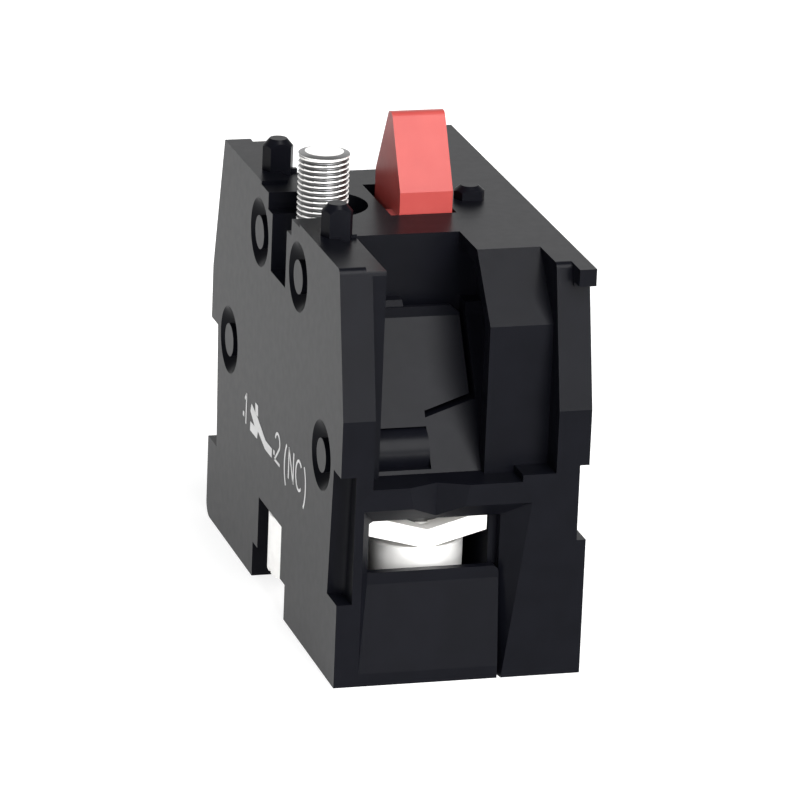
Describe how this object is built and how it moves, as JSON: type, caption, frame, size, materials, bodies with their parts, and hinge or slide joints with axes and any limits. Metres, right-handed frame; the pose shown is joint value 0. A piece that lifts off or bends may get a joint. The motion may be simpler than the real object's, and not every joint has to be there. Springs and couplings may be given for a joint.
{
  "type": "contact block",
  "caption": "Push-button contact block with a spring-return plunger, bridging contact, captive fixing screw and a screw wire clamp at each end.",
  "frame": {"origin": "middle of the underside, on the plane the block stands on", "axes": "+Z the way the plunger and the fixing screw point, +Y along the block from one wire clamp to the other, +X from the cover to the housing's side wall"},
  "size_m": [0.0146, 0.03, 0.0295],
  "materials": {
    "black_plastic": "fine matte moulding",
    "red_plastic": "satin",
    "zinc_steel": "zinc plated",
    "spring_steel": "bright",
    "brass": "satin",
    "contact_silver": "satin silver"
  },
  "bodies": {
    "block": {"housing": "black_plastic", "cover": "black_plastic", "terminal_plate_front": "zinc_steel", "terminal_plate_back": "zinc_steel", "fixed_tip_front": "contact_silver", "fixed_tip_back": "contact_silver"},
    "plunger": {"plunger": "red_plastic", "return_spring": "spring_steel", "contact_spring": "spring_steel"},
    "bridge": {"contact_bridge": "brass", "bridge_tip_front": "contact_silver", "bridge_tip_back": "contact_silver"},
    "front_washer": {"clamp_washer_front": "zinc_steel"},
    "front_screw": {"clamp_screw_front": "zinc_steel"},
    "back_washer": {"clamp_washer_back": "zinc_steel"},
    "back_screw": {"clamp_screw_back": "zinc_steel"},
    "ring": {"retaining_ring": "spring_steel"},
    "screw": {"fixing_screw": "zinc_steel"}
  },
  "joints": [
    {"name": "plunger_press", "type": "slide", "parent": "block", "child": "plunger", "axis": [0, 0, -1], "range_m": [0, 0.0042], "stiffness_N_per_m": 500, "springref_m": -0.002, "deforming": ["return_spring", "contact_spring"]},
    {"name": "bridge_lift", "type": "slide", "parent": "block", "child": "bridge", "axis": [0, 0, -1], "range_m": [0, 0.0026]},
    {"name": "front_washer_slide", "type": "slide", "parent": "block", "child": "front_washer", "axis": [0, 0, -1], "range_m": [0, 0.0017]},
    {"name": "front_screw_turn", "type": "hinge", "parent": "front_washer", "child": "front_screw", "pos_m": [-0.00165, -0.01075, 0.0065], "axis": [0, 0, -1], "range_deg": [0, 1230]},
    {"name": "back_washer_slide", "type": "slide", "parent": "block", "child": "back_washer", "axis": [0, 0, -1], "range_m": [0, 0.0017]},
    {"name": "back_screw_turn", "type": "hinge", "parent": "back_washer", "child": "back_screw", "pos_m": [-0.00165, 0.01075, 0.0065], "axis": [0, 0, -1], "range_deg": [0, 1230]},
    {"name": "ring_slide", "type": "slide", "parent": "block", "child": "ring", "axis": [0, 0, 1], "range_m": [-0.0013, 0]},
    {"name": "fixing_screw_turn", "type": "hinge", "parent": "ring", "child": "screw", "pos_m": [-0.00478, 0, 0.015], "axis": [0, 0, 1], "continuous": true}
  ],
  "couplings": [
    {"joint": "bridge_lift", "follows": "plunger_press", "ratio": 0.619},
    {"joint": "front_screw_turn", "follows": "front_washer_slide", "rad_per_m": 12566},
    {"joint": "back_screw_turn", "follows": "back_washer_slide", "rad_per_m": 12566}
  ]
}
